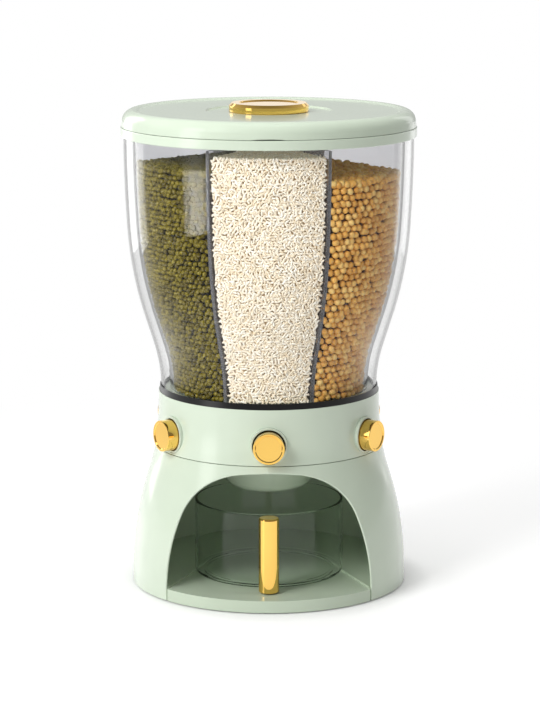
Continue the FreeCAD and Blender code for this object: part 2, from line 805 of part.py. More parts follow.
def make_button_ring():
    """The waist of the dispenser, with six button holes and the flange that carries the hopper."""
    body = turned(
        "button_ring_body",
        [
            ("seam_radius - slip_gap - ring_wall", TURNTABLE_FOOT, "ring_foot_curve", "left"),
            ("seam_radius - slip_gap", TURNTABLE_FOOT),
            ("ring_waist_radius", "ring_waist_height", "ring_foot_curve", "right"),
            ("ring_top_radius", "ring_height"),
            ("ring_flange_bore", "ring_height"),
            ("ring_flange_bore", "ring_height - ring_flange_depth"),
            ("ring_top_radius - ring_wall", "ring_height - ring_flange_depth"),
            ("ring_waist_radius - ring_wall", "ring_waist_height"),
        ],
    )
    bosses = new_sketch(body, "ring_boss_outline", "XY_Plane", TURNTABLE_TOP)
    draw_circles(bosses, around(DIVIDERS, "turntable_screw_circle"), "ring_boss_radius")
    pad(body, "ring_bosses", bosses, "ring_boss_height")
    holes = new_sketch(body, "ring_boss_hole_outline", "XY_Plane", TURNTABLE_TOP)
    draw_circles(holes, around(DIVIDERS, "turntable_screw_circle"), "screw_radius + screw_gap")
    drill(body, "ring_boss_holes", holes, "turntable_screw_length")
    flange = "(ring_height - ring_flange_depth)"
    holes = new_sketch(body, "ring_flange_hole_outline", "XY_Plane", flange)
    draw_circles(holes, around(DIVIDERS, "hopper_screw_circle"), "screw_radius + screw_gap")
    drill(body, "ring_flange_holes", holes, "ring_flange_depth")
    tools = []
    for name, azimuth, _ in COMPARTMENTS:
        hole = cylinder(f"button_hole_{name}", "collar_radius + slip_gap", "ring_wall * 4")
        reach = "ring_waist_radius - ring_wall * 2"
        tools.append(out_from(hole, azimuth, reach, "button_height", "90"))
    keep(cut("button_ring_cut", body, tools), "button_ring")


def make_collar(name, azimuth):
    """The raised round collar that a button slides in."""
    body = new_body(f"collar_{name}_body")
    face = "(ring_waist_radius + collar_proud)"
    spin(
        body,
        f"collar_{name}_turn",
        [
            (f"{face} - collar_length", "collar_bore"),
            (f"{face}", "collar_bore"),
            (f"{face}", "collar_radius - collar_edge_round"),
            (f"{face} - collar_edge_round", "collar_radius", "collar_edge_round", "left"),
            (f"{face} - collar_length", "collar_radius"),
        ],
        "H_Axis",
    )
    keep(out_from(body, azimuth, height="button_height"), f"button_collar_{name}")


def make_button(name, azimuth):
    """A button cap, turned about its own axis, with the boss that takes the rod's tip."""
    body = new_body(f"button_{name}_body")
    skirt = "(button_face - button_skirt)"
    well = "(button_face - button_rim_depth)"
    bore = "(rod_tip_radius + screw_gap)"
    spin(
        body,
        f"button_{name}_turn",
        [
            (well, "0"),
            (well, "button_radius - button_rim - button_rim_slope"),
            ("button_face", "button_radius - button_rim"),
            ("button_face", "button_radius - button_edge_round"),
            ("button_face - button_edge_round", "button_radius", "button_edge_round", "left"),
            (skirt, "button_radius"),
            (skirt, "button_radius - button_skirt_wall"),
            ("button_face - button_face_wall", "button_radius - button_skirt_wall"),
            ("button_face - button_face_wall", "button_boss_radius"),
            (ROD_END, "button_boss_radius"),
            (ROD_END, bore),
            (f"{ROD_END} + rod_tip_length + slip_gap", bore),
            (f"{ROD_END} + rod_tip_length + slip_gap", "0"),
        ],
        "H_Axis",
    )
    keep(out_from(body, azimuth, height="button_height"), f"button_{name}")


def make_gate(name, azimuth):
    """A gate: a blade with a window, and the rod that joins it to its button."""
    body = new_body(f"gate_{name}_body")
    spin(
        body,
        f"rod_{name}",
        [
            ("rod_start - rod_radius", "0"),
            ("rod_start - rod_radius", "rod_radius"),
            (ROD_END, "rod_radius"),
            (ROD_END, "rod_tip_radius"),
            (f"{ROD_END} + rod_tip_length", "rod_tip_radius"),
            (f"{ROD_END} + rod_tip_length", "0"),
        ],
        "H_Axis",
    )
    neck = new_sketch(body, f"neck_{name}_outline", "XY_Plane", "-rod_radius")
    draw(
        neck,
        [
            ("rod_start - gate_neck_half_width", "-gate_neck_half_width"),
            ("rod_start", "-gate_neck_half_width"),
            ("rod_start", "gate_neck_half_width"),
            ("rod_start - gate_neck_half_width", "gate_neck_half_width"),
        ],
    )
    pad(body, f"neck_{name}", neck, "rod_radius + gate_rise + gate_depth")
    blade = new_sketch(body, f"blade_{name}_outline", "XY_Plane", "gate_rise")
    draw(
        blade,
        [
            (GATE_START, "-gate_half_width"),
            ("gate_end", "-gate_half_width"),
            ("gate_end + gate_neck_half_width", "-gate_neck_half_width"),
            ("rod_start", "-gate_neck_half_width"),
            ("rod_start", "gate_neck_half_width"),
            ("gate_end + gate_neck_half_width", "gate_neck_half_width"),
            ("gate_end", "gate_half_width"),
            (GATE_START, "gate_half_width"),
        ],
    )
    pad(body, f"blade_{name}", blade, "gate_depth")
    window = new_sketch(body, f"window_{name}_outline", "XY_Plane", "gate_rise")
    start = "(slot_start + button_travel)"
    draw(
        window,
        [
            (start, "-slot_half_width"),
            (f"{start} + slot_length", "-slot_half_width"),
            (f"{start} + slot_length", "slot_half_width"),
            (start, "slot_half_width"),
        ],
    )
    drill(body, f"window_{name}", window, "gate_depth")
    keep(out_from(body, azimuth, height="button_height"), f"gate_{name}")


def make_spring(name, azimuth):
    """The spring that pushes a button out, wound round its rod."""
    start = f"({GUIDE_START} + guide_depth + spring_wire + slip_gap)"
    length = f"({ROD_END} - {start} - spring_wire - slip_gap)"
    helix = doc.addObject("Part::Helix", f"spring_path_{name}")
    bind(helix, Radius="spring_radius", Height=length, Pitch=f"{length} / spring_turns")
    helix.SegmentLength = 1
    doc.recompute()
    wire = doc.addObject("Part::Circle", f"spring_wire_{name}")
    bind(wire, Radius="spring_wire")
    upright = FreeCAD.Rotation(FreeCAD.Vector(1, 0, 0), 90)
    wire.Placement = FreeCAD.Placement(FreeCAD.Vector(number("spring_radius"), 0, 0), upright)
    bind(wire, Placement__Base__x="spring_radius")
    coil = doc.addObject("Part::Sweep", f"spring_coil_{name}")
    coil.Sections = [wire]
    coil.Spine = (helix, [f"Edge{turn}" for turn in range(1, len(helix.Shape.Edges) + 1)])
    coil.Solid = True
    coil.Frenet = True
    keep(out_from(coil, azimuth, start, "button_height", "90"), f"spring_{name}")


def wedge_steps(half, start, reach, inset):
    """A compartment's outline: two sides parallel to its dividers, and an arc round the axis."""
    lean = f"({half} * 1 deg - asin(({inset}) / ({reach})))"
    near = f"({start} * tan({half}) - ({inset}) / cos({half}))"
    far_x, far_y = f"({reach}) * cos({lean})", f"({reach}) * sin({lean})"
    return [
        (start, f"-{near}"),
        (far_x, f"-{far_y}"),
        (far_x, far_y, reach, "left"),
        (start, near),
    ]


def slot_steps(margin):
    """A chute's outlet, widened all round by a margin."""
    start, end = f"(slot_start - {margin})", f"(slot_start + slot_length + {margin})"
    side = f"(slot_half_width + {margin})"
    return [(start, f"-{side}"), (end, f"-{side}"), (end, side), (start, side)]


def chute(name, azimuth, half, start, reach, inset, margin):
    """A funnel-shaped solid from a compartment's outline down to its outlet."""
    sections = []
    for end, steps, height in (
        ("top", wedge_steps(half, start, reach, inset), "hopper_height"),
        ("foot", slot_steps(margin), HOPPER_FOOT),
    ):
        sketch = doc.addObject("Sketcher::SketchObject", f"{name}_{end}")
        sections.append(draw(place(sketch, height=height), steps))
    loft = doc.addObject("Part::Loft", name)
    loft.Sections = sections
    loft.Solid = True
    loft.Ruled = True
    return out_from(loft, azimuth)


def make_hopper():
    """Six chutes that narrow from the compartments to the outlets, with a rim and a floor."""
    rim = turned(
        "hopper_rim",
        [
            ("hopper_rim_bore", "hopper_height - hopper_rim_depth"),
            ("hopper_rim_radius", "hopper_height - hopper_rim_depth"),
            ("hopper_rim_radius", "hopper_height"),
            ("hopper_rim_bore", "hopper_height"),
        ],
    )
    floor = place(cylinder("hopper_floor", "gate_plate_radius", "hopper_floor_depth"), height=HOPPER_FOOT)
    solids, tools = [rim, floor], []
    inner = f"(bowl_foot_radius - {TUB_INNER})"
    for name, azimuth, half in COMPARTMENTS:
        outer_reach = f"({inner} + chute_wall)"
        outer = (f"chute_outer_{name}", azimuth, half, "chute_root", outer_reach, "-chute_lap", "chute_wall")
        solids.append(chute(*outer))
        bore = (f"chute_bore_{name}", azimuth, half, "chute_start", inner, "divider_depth / 2", "0")
        tools.append(chute(*bore))
    for count, (x, y) in enumerate(around(DIVIDERS, "hopper_screw_circle"), start=1):
        depth = "hopper_rim_depth - blind_floor"
        hole = cylinder(f"hopper_rim_hole_{count}", "screw_radius + screw_gap", depth)
        tools.append(place(hole, x, y, "hopper_height - hopper_rim_depth"))
    for count, (x, y) in enumerate(around(DIVIDERS, "gate_screw_circle"), start=1):
        hole = cylinder(f"hopper_floor_hole_{count}", "screw_radius + screw_gap", "hopper_floor_depth")
        tools.append(place(hole, x, y, HOPPER_FOOT))
    keep(cut("hopper_cut", joined("hopper_solid", solids), tools), "outlet_hopper")
    places = around(DIVIDERS, "hopper_screw_circle")
    screws("hopper_screws", places, "ring_height - ring_flange_depth", "hopper_screw_length")


def make_gate_plate():
    """The plate under the gates: a channel for each blade and the lower half of each outlet."""
    plate = turned(
        "gate_plate_disc",
        [
            ("gate_plate_bore", GATE_PLATE_FOOT),
            ("gate_plate_radius", GATE_PLATE_FOOT),
            ("gate_plate_radius", HOPPER_FOOT),
            ("gate_plate_bore", HOPPER_FOOT),
        ],
    )
    tools = []
    channel_start = f"({GATE_START} - button_travel - running_gap)"
    channel_side = "(gate_half_width + running_gap)"
    for name, azimuth, _ in COMPARTMENTS:
        channel = box(f"channel_{name}", "gate_plate_radius", f"2 * {channel_side}", "2 * gate_plate_depth")
        slot = box(f"slot_{name}", "slot_length", "2 * slot_half_width", "3 * gate_plate_depth")
        for item, start, half, height in (
            (channel, channel_start, channel_side, f"{GATE_FOOT} - running_gap"),
            (slot, "slot_start", "slot_half_width", f"{GATE_PLATE_FOOT} - cut_margin"),
        ):
            x, y = around([azimuth], start)[0]
            corner_x, corner_y = f"{x} - {half} * cos({azimuth})", f"{y} - {half} * sin({azimuth})"
            tools.append(place(item, corner_x, corner_y, height, f"{azimuth} - 90"))
    for count, (x, y) in enumerate(around(DIVIDERS, "gate_screw_circle"), start=1):
        hole = cylinder(f"gate_plate_hole_{count}", "screw_radius + screw_gap", "4 * gate_plate_depth")
        tools.append(place(hole, x, y, f"{GATE_PLATE_FOOT} - cut_margin"))
    keep(cut("gate_plate_cut", plate, tools), "gate_plate")
    screws("gate_plate_screws", around(DIVIDERS, "gate_screw_circle"), GATE_PLATE_FOOT, "gate_screw_length")


def make_container():
    """The clear outer shell, the clear inner tub, and the gasket between shell and ring."""
    keep(turned("container_shell_body", bowl_up("0") + bowl_down("shell_wall")), "container_shell")
    keep(turned("inner_tub_body", bowl_up("tub_inset") + bowl_down(TUB_INNER)), "inner_tub")
    keep(
        turned(
            "container_gasket_body",
            [
                ("hopper_rim_radius + running_gap", "ring_height"),
                ("gasket_foot_radius", "ring_height"),
                ("gasket_top_radius", "gasket_height"),
                ("bowl_foot_radius + slip_gap", "gasket_height"),
                ("bowl_foot_radius + slip_gap", "hopper_height"),
                ("hopper_rim_radius + running_gap", "hopper_height"),
            ],
        ),
        "container_gasket",
    )


def make_boards(name, depth, height, hub):
    """Three full-width boards that cross at the axis, round a hub."""
    boards = [place(cylinder(f"{name}_hub", hub, height), height="hopper_height")]
    for count, azimuth in enumerate(DIVIDERS[:3], start=1):
        board = box(f"{name}_board_{count}", "2 * bowl_brim_radius", depth, height)
        x, y = f"-bowl_brim_radius * sin({azimuth})", f"bowl_brim_radius * cos({azimuth})"
        across_x, across_y = f"({depth}) / 2 * cos({azimuth})", f"({depth}) / 2 * sin({azimuth})"
        corner = (f"{x} - {across_x}", f"{y} - {across_y}")
        boards.append(place(board, *corner, "hopper_height", f"{azimuth} - 90"))
    return joined(name, boards)


def make_tub_space(name, gap):
    """The room inside the tub, less a gap at its wall."""
    inset = f"({TUB_INNER} + {gap})"
    return turned(name, [("0", "hopper_height"), *bowl_up(inset), ("0", "bowl_brim_height")])


def make_divider_frame():
    """The insert that parts the tub into six compartments."""
    boards = make_boards("divider_boards", "divider_depth", "divider_height - hopper_height", "hub_radius")
    keep(shared("divider_trim", [boards, make_tub_space("divider_space", "running_gap")]), "divider_frame")


def make_grain(name, place_name, azimuth, half, wall_height, hub_height):
    """A compartment's grain: its sides follow tub and dividers, and its top is a gentle heap."""
    inner = f"(bowl_foot_radius - {TUB_INNER})"
    heap = turned(
        f"{name}_heap",
        [
            ("0", "hopper_height"),
            ("bowl_brim_radius", "hopper_height"),
            ("bowl_brim_radius", wall_height),
            ("0", hub_height),
        ],
    )
    body = new_body(f"{name}_column")
    sketch = new_sketch(body, f"{name}_column_outline", "XY_Plane", "hopper_height")
    inset = "(divider_depth / 2 + running_gap)"
    draw(sketch, wedge_steps(half, "chute_start", "bowl_brim_radius", inset))
    pad(body, f"{name}_column_pad", sketch, "bowl_brim_height - hopper_height")
    out_from(body, azimuth)
    space = make_tub_space(f"{name}_space", "running_gap")
    above = shared(f"{name}_above", [heap, body, space])
    tail = chute(
        f"{name}_tail", azimuth, half, "(chute_start + 2 * running_gap)", f"({inner} - running_gap)", inset,
        "(-running_gap)",
    )
    keep(joined(f"{name}_fill", [above, tail]), place_name)


def make_rim_band():
    """The green band on the container's mouth, which caps shell and tub."""
    shell_side = "(bowl_brim_radius + running_gap)"
    tub_side = f"(bowl_brim_radius - {TUB_INNER} - running_gap)"
    keep(
        turned(
            "rim_band_body",
            [
                (shell_side, "band_foot_height"),
                ("band_radius - band_bevel", "band_foot_height"),
                ("band_radius", "band_foot_height + band_bevel"),
                ("band_radius", "band_top_height - band_bevel"),
                ("band_radius - band_bevel", "band_top_height"),
                (MOUTH, "band_top_height"),
                (MOUTH, "band_foot_height"),
                (tub_side, "band_foot_height"),
                (tub_side, "bowl_brim_height"),
                (shell_side, "bowl_brim_height"),
            ],
        ),
        "rim_band",
    )


def make_lid_cover():
    """The lid's cover, with a raised crest, a sunk panel and a recess round the knob."""
    body = turned(
        "lid_cover_turn",
        [
            ("0", "lid_recess_height - lid_wall"),
            ("lid_recess_radius", "lid_recess_height - lid_wall"),
            ("lid_recess_radius + lid_recess_bevel", "lid_panel_height - lid_wall"),
            ("lid_panel_radius", "lid_panel_height - lid_wall"),
            ("lid_crest_inner_radius", "lid_crest_height - lid_wall"),
            ("lid_crest_radius", "lid_crest_height - lid_wall"),
            ("lid_shoulder_radius - lid_wall", "lid_shoulder_height", "lid_shoulder_curve", "right"),
            ("lid_radius - lid_wall", LID_FOOT),
            ("lid_radius", LID_FOOT),
            ("lid_shoulder_radius", "lid_shoulder_height"),
            ("lid_crest_radius", "lid_crest_height", "lid_shoulder_curve", "left"),
            ("lid_crest_inner_radius", "lid_crest_height"),
            ("lid_panel_radius", "lid_panel_height"),
            ("lid_recess_radius + lid_recess_bevel", "lid_panel_height"),
            ("lid_recess_radius", "lid_recess_height"),
            ("0", "lid_recess_height"),
        ],
    )
    bore = new_sketch(body, "knob_bore_outline", "XY_Plane", "lid_recess_height - 2 * lid_wall")
    draw_circles(bore, [("0", "0")], "knob_boss_radius + slip_gap")
    drill(body, "knob_bore", bore, "3 * lid_wall")
    posts = new_sketch(body, "lid_post_outline", "XY_Plane", LINER_TOP)
    draw_circles(posts, around(SIXTHS, "lid_screw_circle"), "lid_post_radius")
    pad(body, "lid_posts", posts, f"lid_shoulder_height + lid_shoulder_curve / 2 - {LINER_TOP}")
    holes = new_sketch(body, "lid_post_hole_outline", "XY_Plane", LINER_TOP)
    draw_circles(holes, around(SIXTHS, "lid_screw_circle"), "screw_radius + screw_gap")
    drill(body, "lid_post_holes", holes, "lid_screw_length")
    squares = "(notch_half_width * notch_half_width + notch_height * notch_height)"
    curve = f"({squares} / (2 * notch_height))"
    notch = cylinder("finger_notch", curve, "4 * lid_wall")
    middle = f"{LID_FOOT} + notch_height - {curve}"
    place(notch, "0", "-lid_shoulder_radius + 2 * lid_wall", middle, "-90", "90")
    keep(cut("lid_cover_cut", body, [notch]), "lid_cover")


def make_lid_liner():
    """The pan under the lid that plugs the mouth, its seal and its screws."""
    radius = f"({MOUTH} - liner_gap)"
    seat = f"({LINER_FLANGE} + screw_head_depth)"
    groove_top = "(band_top_height + slip_gap + seal_depth)"
    body = turned(
        "lid_liner_body",
        [
            ("0", "liner_height"),
            (radius, "liner_height"),
            (radius, LINER_FLANGE),
            ("seal_radius - slip_gap", LINER_FLANGE),
            ("seal_radius - slip_gap", groove_top),
            ("seal_radius + seal_width + slip_gap", groove_top),
            ("seal_radius + seal_width + slip_gap", LINER_FLANGE),
            ("liner_flange_radius", LINER_FLANGE),
            ("liner_flange_radius", LINER_TOP),
            (f"{radius} - liner_wall", LINER_TOP),
            (f"{radius} - liner_wall", "liner_height + liner_wall"),
            ("0", "liner_height + liner_wall"),
        ],
    )
    holes = new_sketch(body, "liner_hole_outline", "XY_Plane", LINER_FLANGE)
    draw_circles(holes, around(SIXTHS, "lid_screw_circle"), "screw_radius + screw_gap")
    drill(body, "liner_holes", holes, "liner_flange_depth")
    sinks = new_sketch(body, "liner_sink_outline", "XY_Plane", LINER_FLANGE)
    draw_circles(sinks, around(SIXTHS, "lid_screw_circle"), "screw_head_radius + slip_gap")
    drill(body, "liner_sinks", sinks, "screw_head_depth")
    keep(body, "lid_liner")
    keep(
        turned(
            "lid_seal_body",
            [
                ("seal_radius", "band_top_height + slip_gap"),
                ("seal_radius + seal_width", "band_top_height + slip_gap"),
                ("seal_radius + seal_width", groove_top),
                ("seal_radius", groove_top),
            ],
        ),
        "lid_seal",
    )
    screws("lid_screws", around(SIXTHS, "lid_screw_circle"), seat, "lid_screw_length")


def make_knob():
    """The knob, with a dished top, a boss through the cover, a washer and a screw."""
    hole = "(screw_radius + screw_gap)"
    under = "(lid_recess_height - lid_wall)"
    foot = f"({under} - washer_depth)"
    keep(
        turned(
            "knob_body",
            [
                (hole, under),
                ("knob_boss_radius", under),
                ("knob_boss_radius", "lid_recess_height"),
                ("knob_radius - knob_foot_bevel", "lid_recess_height"),
                ("knob_radius", "lid_recess_height + knob_foot_bevel"),
                ("knob_radius", "knob_height - knob_bevel"),
                ("knob_radius - knob_bevel", "knob_height"),
                ("knob_dish_radius", "knob_height"),
                ("knob_dish_radius - knob_dish_depth", "knob_height - knob_dish_depth"),
                ("0", "knob_height - knob_dish_depth"),
                ("0", f"{foot} + knob_screw_length + slip_gap"),
                (hole, f"{foot} + knob_screw_length + slip_gap"),
            ],
        ),
        "knob",
    )
    keep(
        turned(
            "knob_washer_body",
            [(hole, foot), ("washer_radius", foot), ("washer_radius", under), (hole, under)],
        ),
        "knob_washer",
    )
    keep(place(screw("knob_screw_body", "knob_screw_length"), height=foot), "knob_screw")


def make_cup():
    """The clear cup with its foot ring, the bar handle and the screws that hold it."""
    outer, inner = "cup_radius", "(cup_radius - cup_wall)"
    foot = "(recess_height + cup_lift)"
    body = turned(
        "cup_turn",
        [
            ("0", "cup_floor_height"),
            ("cup_foot_radius - cup_foot_width", "cup_floor_height"),
            ("cup_foot_radius - cup_foot_width", foot),
            ("cup_foot_radius", foot),
            ("cup_foot_radius", "cup_floor_height"),
            (f"{outer} - cup_foot_round", "cup_floor_height"),
            (outer, "cup_floor_height + cup_foot_round", "cup_foot_round", "left"),
            (outer, "cup_height - cup_rim_round"),
            (f"{outer} - cup_rim_round", "cup_height", "cup_rim_round", "left"),
            (f"{inner}", "cup_height"),
            (inner, "cup_floor_height + cup_floor_depth"),
            ("0", "cup_floor_height + cup_floor_depth"),
        ],
    )
    heights = ["(handle_foot_height + handle_screw_inset)", "(cup_height - handle_screw_inset)"]
    tools, bar_tools, items = [], [], []
    for count, height in enumerate(heights, start=1):
        hole = cylinder(f"cup_hole_{count}", "screw_radius + screw_gap", "4 * cup_wall")
        tools.append(place(hole, "0", "-cup_radius + 2 * cup_wall", height, "-90", "90"))
        bore = cylinder(f"bar_hole_{count}", "screw_radius + screw_gap", "handle_screw_length + cup_wall")
        bar_tools.append(place(bore, "0", "-cup_radius + 2 * cup_wall", height, "-90", "90"))
        item = screw(f"handle_screw_{count}", "handle_screw_length")
        items.append(place(item, "0", "-cup_setback - cup_radius + cup_wall + slip_gap", height, "-90", "90"))
    cup = cut("cup_cut", body, tools)
    keep(place(cup, "0", "-cup_setback"), "cup")
    bar = turned(
        "handle_turn",
        [
            ("0", "handle_foot_height"),
            ("handle_radius - cup_rim_round", "handle_foot_height"),
            ("handle_radius", "handle_foot_height + cup_rim_round", "cup_rim_round", "left"),
            ("handle_radius", "cup_height - handle_round"),
            ("handle_radius - handle_round", "cup_height", "handle_round", "left"),
            ("0", "cup_height"),
        ],
    )
    place(bar, "0", "-handle_reach")
    wall = cylinder("handle_seat", "cup_radius", "2 * cup_height")
    handle = cut("handle_cut", bar, [wall, *bar_tools])
    keep(place(handle, "0", "-cup_setback"), "cup_handle")
    group("handle_screws", items)


def make_grains():
    """The grain in the three front compartments."""
    by_name = {name: (azimuth, half) for name, azimuth, half in COMPARTMENTS}
    make_grain("rice", "rice_fill", *by_name["front"], "rice_wall_height", "rice_hub_height")
    make_grain("mung", "mung_bean_fill", *by_name["left_front"], "mung_wall_height", "mung_hub_height")
    make_grain("soy", "soybean_fill", *by_name["right_front"], "soy_wall_height", "soy_hub_height")


def check_and_write():
    """Stops if anything failed, then writes one file for each piece."""
    doc.recompute()
    for item in doc.Objects:
        if {"Invalid", "Error"} & set(item.State):
            raise RuntimeError(f"{item.Label} did not compute")
    os.makedirs("parts", exist_ok=True)
    for name, item in nodes.items():
        shape = item.Shape
        if shape.isNull() or not shape.isValid() or not shape.Solids:
            raise RuntimeError(f"{name} has no valid solid")
        shape.exportStep(f"parts/{name}.step")
        print(f"{name}: {len(shape.Solids)} solid(s), {shape.Volume / 1000:.2f} cm3")


make_base_shell()
make_floor_tray()
screws("tray_screws", around(TRAY_SCREWS, "tray_boss_circle"), TRAY_FOOT, "tray_screw_length")
make_rubber_feet()
make_funnel()
make_retaining_ring()
make_ball_bearing()
make_turntable()
make_button_ring()
for compartment, compartment_azimuth, _ in COMPARTMENTS:
    make_collar(compartment, compartment_azimuth)
    make_button(compartment, compartment_azimuth)
    make_gate(compartment, compartment_azimuth)
    make_spring(compartment, compartment_azimuth)
make_hopper()
make_gate_plate()
make_container()
make_divider_frame()
make_grains()
make_rim_band()
make_lid_cover()
make_lid_liner()
make_knob()
make_cup()
check_and_write()
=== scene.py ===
import math
import random

import bpy
from mathutils import Matrix, Vector


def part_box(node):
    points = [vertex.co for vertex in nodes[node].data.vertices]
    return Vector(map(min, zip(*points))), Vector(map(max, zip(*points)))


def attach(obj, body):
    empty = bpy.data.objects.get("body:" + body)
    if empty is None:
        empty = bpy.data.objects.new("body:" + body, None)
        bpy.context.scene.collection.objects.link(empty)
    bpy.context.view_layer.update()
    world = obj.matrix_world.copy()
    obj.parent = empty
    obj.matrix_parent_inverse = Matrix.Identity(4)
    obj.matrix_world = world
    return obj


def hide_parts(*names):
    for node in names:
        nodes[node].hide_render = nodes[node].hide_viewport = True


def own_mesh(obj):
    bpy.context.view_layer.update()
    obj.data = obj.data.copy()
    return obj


# Grain dispenser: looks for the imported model, the grain in its compartments, and the studio.
# Metres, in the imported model's frame: +Z up, front towards -Y. An azimuth counts from the front, and grows
# towards the right.

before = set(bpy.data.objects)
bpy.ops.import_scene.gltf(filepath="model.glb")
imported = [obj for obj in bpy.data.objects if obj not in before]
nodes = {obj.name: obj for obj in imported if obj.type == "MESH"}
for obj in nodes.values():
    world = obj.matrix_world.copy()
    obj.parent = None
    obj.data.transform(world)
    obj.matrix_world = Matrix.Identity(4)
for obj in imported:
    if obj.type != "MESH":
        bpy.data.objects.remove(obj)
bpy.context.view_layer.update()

MM = 0.001
COMPARTMENTS = ["front", "right_front", "right_rear", "rear", "left_rear", "left_front"]
SHARP_ANGLE = 28  # degrees: flatter edges are shaded smooth

# Places from which rays find a fill's surface: beyond the walls, over the lid, and inside near the wall
BEYOND = 0.3
OVERHEAD = 0.5
NEAR_WALL = 0.12

# Where the seeds lie. Stray values are in pitches, but for the top's depth, which is in depths.
GRAIN_FOOT = 0.2  # just under the black gasket's top
ROW_STEP = 0.87  # from one staggered row to the next, in pitches
STRAY_ALONG = 0.1
STRAY_DEEP = 0.12
STRAY_TOP = 0.12
STRAY_TOP_DEEP = 0.2
HALF_DIVIDER = 1.9  # mm, with the gap beside it
HUB_REACH = 12  # mm from the axis to the first seed along a divider
SIDE_PROBE = 0.03  # radians from a fill's side to where its reach is read
SEED_BLUNTNESS = 0.85  # 1 is an ellipsoid, and less has blunter ends

# The core behind the seeds, dark with painted shade
CORE_STEPS = 14
CORE_LEVELS = 26
CORE_TIP = 0.022  # from the axis to its inner edge
CORE_GAP = 2  # mm, on top of its inset, towards the dividers

# Strength of the studio's white, which is 1 where the camera sees it
WORLD_GLOW = 0.42  # on matt surfaces
GLOSS_FRONT = 0.2  # what gloss mirrors from the front
GLOSS_BEHIND = 0.5  # and from behind
GLOSS_TURN = (-0.2, 0.6)  # where it goes from one to the other, with -1 in front and 1 behind
INSIDE_GLOW = 0.5  # for a ray that was mirrored inside clear plastic

FLOOR_RADIUS = 8
FLOOR_LIFT = 0.33  # the floor's own glow, which makes it pale
LIFT_SPAN = (0.125, 0.165)  # radii between which that glow grows, so that the contact shadow stays
WHITE_SPAN = (0.35, 0.9)  # radii between which the floor turns plain white

STRIP_DISTANCE = 1.6
STRIP_HEIGHT = 0.5
STRIP_TARGET = (0, 0, 0.3)
CAMERA_DIP = 10.9  # degrees


def linear(red, green, blue):
    """A colour given as the eye's 0 to 255 values, for a shader."""
    return tuple(((value / 255 + 0.055) / 1.055) ** 2.4 for value in (red, green, blue))


def polar(azimuth, radius, height):
    """A point by its azimuth in radians, its distance from the axis and its height."""
    return Vector((math.sin(azimuth) * radius, -math.cos(azimuth) * radius, height))


def new_object(name, data):
    """An object in the scene."""
    thing = bpy.data.objects.new(name, data)
    bpy.context.scene.collection.objects.link(thing)
    return thing


# Shader nodes: each helper adds to a tree and returns the output


def math_node(tree, operation, first, second):
    """Two values brought together, as by MAXIMUM or MULTIPLY."""
    node = tree.nodes.new("ShaderNodeMath")
    node.operation = operation
    tree.links.new(first, node.inputs[0])
    tree.links.new(second, node.inputs[1])
    return node.outputs[0]


def map_range(tree, value, from_min=0.0, from_max=1.0, to_min=0.0, to_max=1.0, way="LINEAR"):
    """A value moved from one range to another, and kept within it."""
    node = tree.nodes.new("ShaderNodeMapRange")
    node.interpolation_type = way
    node.inputs["From Min"].default_value = from_min
    node.inputs["From Max"].default_value = from_max
    node.inputs["To Min"].default_value = to_min
    node.inputs["To Max"].default_value = to_max
    tree.links.new(value, node.inputs["Value"])
    return node.outputs["Result"]


def noise(tree, scale, detail):
    """A noise over the object's own space."""
    place = tree.nodes.new("ShaderNodeTexCoord")
    node = tree.nodes.new("ShaderNodeTexNoise")
    node.inputs["Scale"].default_value = scale
    node.inputs["Detail"].default_value = detail
    tree.links.new(place.outputs["Object"], node.inputs["Vector"])
    return node.outputs["Fac"]


def colour_ramp(tree, value, colours, start=0.0, end=1.0):
    """Colours at even steps of a value, from start to end."""
    node = tree.nodes.new("ShaderNodeValToRGB")
    stops = node.color_ramp.elements
    stops[0].position = start
    stops[-1].position = end
    for count in range(1, len(colours) - 1):
        stops.new(start + (end - start) * count / (len(colours) - 1))
    for stop, colour in zip(stops, colours):
        stop.color = (*colour, 1)
    tree.links.new(value, node.inputs["Fac"])
    return node.outputs["Color"]


def mix_shaders(tree, factor, first, second):
    """The first shader where the factor is 0, and the second where it is 1."""
    node = tree.nodes.new("ShaderNodeMixShader")
    tree.links.new(factor, node.inputs["Fac"])
    tree.links.new(first, node.inputs[1])
    tree.links.new(second, node.inputs[2])
    return node.outputs["Shader"]


def white_glow(tree, kind, strength):
    """A white Background or Emission of a given strength."""
    node = tree.nodes.new(kind)
    node.inputs["Color"].default_value = (1, 1, 1, 1)
    tree.links.new(strength, node.inputs["Strength"])
    return node.outputs[0]


def light_rays(tree, kinds):
    """1 where a ray is one of these kinds, else 0."""
    path = tree.nodes.new("ShaderNodeLightPath")
    value = path.outputs[kinds[0]]
    for kind in kinds[1:]:
        value = math_node(tree, "MAXIMUM", value, path.outputs[kind])
    return value


def inside_glow(tree):
    """1, or INSIDE_GLOW for a ray that was mirrored inside clear plastic before it left it."""
    path = tree.nodes.new("ShaderNodeLightPath")
    turned = math_node(tree, "MINIMUM", path.outputs["Glossy Depth"], path.outputs["Is Transmission Ray"])
    return map_range(tree, turned, to_min=1.0, to_max=INSIDE_GLOW)


# Materials


def new_material(name):
    """A material with its node tree and its main shader."""
    material = bpy.data.materials.new(name)
    material.use_nodes = True
    tree = material.node_tree
    return material, tree, tree.nodes["Principled BSDF"]


def mottled(tree, shader, colour, spread, scale):
    """Lets a colour vary a little over the surface."""
    darker = [part * (1 - spread) for part in colour]
    lighter = [min(1, part * (1 + spread)) for part in colour]
    shades = colour_ramp(tree, noise(tree, scale, detail=3), [darker, lighter], start=0.3, end=0.7)
    tree.links.new(shades, shader.inputs["Base Color"])


